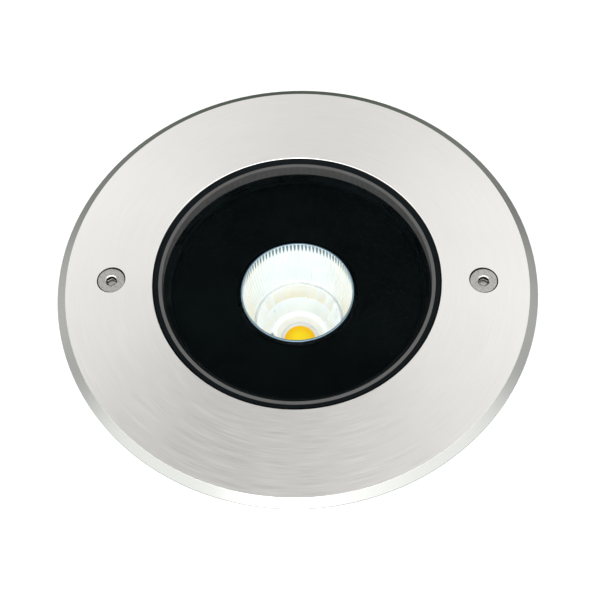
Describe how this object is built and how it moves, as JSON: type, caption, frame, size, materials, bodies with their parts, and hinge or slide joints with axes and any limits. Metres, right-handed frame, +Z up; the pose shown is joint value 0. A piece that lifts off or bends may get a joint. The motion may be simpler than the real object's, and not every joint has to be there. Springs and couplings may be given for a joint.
{
  "type": "in ground well light",
  "caption": "Round walk-over uplight with a sloping steel ring, flat glass and an aimable reflector lamp, in a buried ground sleeve with cable and conduit entries.",
  "frame": {"origin": "centre of the sleeve's foot, on the ground it stands on", "axes": "+Z up through the glass, X through the two ring screws and the conduit entries, Y across them"},
  "size_m": [0.21, 0.21, 0.206],
  "materials": {
    "sleeve_plastic": "moulded polypropylene, satin",
    "insert_brass": "turned brass",
    "trim_steel": "satin stainless steel",
    "trim_screw_steel": "turned stainless steel",
    "seal_rubber": "matt",
    "gasket_rubber": "matt",
    "housing_metal": "die cast, grey powder coat",
    "cover_metal": "die cast, grey powder coat",
    "clear_glass": "toughened, polished",
    "grey_sealant": "satin silicone",
    "black_metal": "black powder coat",
    "small_screw_steel": "stainless steel",
    "washer_nylon": "natural nylon",
    "driver_plastic": "white case, satin",
    "terminal_plastic": "moulded, satin",
    "supply_wire": "brown insulation",
    "driver_wire": "red insulation",
    "lamp_wire": "red insulation",
    "earth_brass": "turned brass",
    "nickel_brass": "nickel plated",
    "vent_plastic": "moulded nylon",
    "yoke_steel": "zinc plated strip",
    "bracket_steel": "zinc plated strip",
    "hub_steel": "turned, zinc plated",
    "pin_steel": "turned stainless steel",
    "reflector_upper_metal": "fluted, bright anodised",
    "reflector_lower_metal": "faceted, bright anodised",
    "holder_plastic": "white, smooth",
    "pad_silicone": "matt grey",
    "led_ceramic": "matt white",
    "phosphor": "yellow silicone with phosphor",
    "sink_aluminium": "extruded, plain"
  },
  "bodies": {
    "ground_pot": {"sleeve": "sleeve_plastic", "sleeve_inserts": "insert_brass", "conduit_plug": "sleeve_plastic"},
    "cover_trim": {"trim_ring": "trim_steel", "trim_screws": "trim_screw_steel", "flange_seal": "seal_rubber"},
    "luminaire": {"housing": "housing_metal", "glass": "clear_glass", "glass_sealant": "grey_sealant", "glass_gasket": "gasket_rubber", "clamp_ring": "black_metal", "clamp_screws": "small_screw_steel", "baffle": "black_metal", "pan_washer": "washer_nylon", "led_driver": "driver_plastic", "driver_screws": "small_screw_steel", "terminal_block": "terminal_plastic", "terminal_screws": "small_screw_steel", "supply_leads": "supply_wire", "driver_leads": "driver_wire", "earth_screw": "earth_brass", "bottom_cover": "cover_metal", "cover_gasket": "seal_rubber", "cover_screws": "small_screw_steel", "gland_washer": "seal_rubber", "gland_body": "nickel_brass", "gland_locknut": "nickel_brass", "gland_nut": "nickel_brass", "gland_seal": "seal_rubber", "vent_plug": "vent_plastic", "vent_seal": "seal_rubber"},
    "pan_frame": {"yoke": "yoke_steel", "pan_hub": "hub_steel", "hub_nut": "hub_steel"},
    "lamp_head": {"upper_reflector": "reflector_upper_metal", "lower_reflector": "reflector_lower_metal", "led_holder": "holder_plastic", "holder_screws": "small_screw_steel", "thermal_pad": "pad_silicone", "led_plate": "led_ceramic", "led_emitter": "phosphor", "heat_sink": "sink_aluminium", "lamp_bracket": "bracket_steel", "bracket_screws": "small_screw_steel", "tilt_pins": "pin_steel", "tilt_washers": "washer_nylon", "pin_nuts": "pin_steel", "lamp_leads": "lamp_wire"}
  },
  "joints": [
    {"name": "body_lift", "type": "slide", "parent": "ground_pot", "child": "luminaire", "axis": [0, 0, 1], "range_m": [0, 0.17]},
    {"name": "trim_lift", "type": "slide", "parent": "luminaire", "child": "cover_trim", "axis": [0, 0, 1], "range_m": [0, 0.06]},
    {"name": "pan", "type": "hinge", "parent": "luminaire", "child": "pan_frame", "pos_m": [0, 0, 0.1037], "axis": [0, 0, 1], "range_deg": [-170, 170]},
    {"name": "tilt", "type": "hinge", "parent": "pan_frame", "child": "lamp_head", "pos_m": [0, 0, 0.1863], "axis": [1, 0, 0], "range_deg": [-10, 10]}
  ]
}
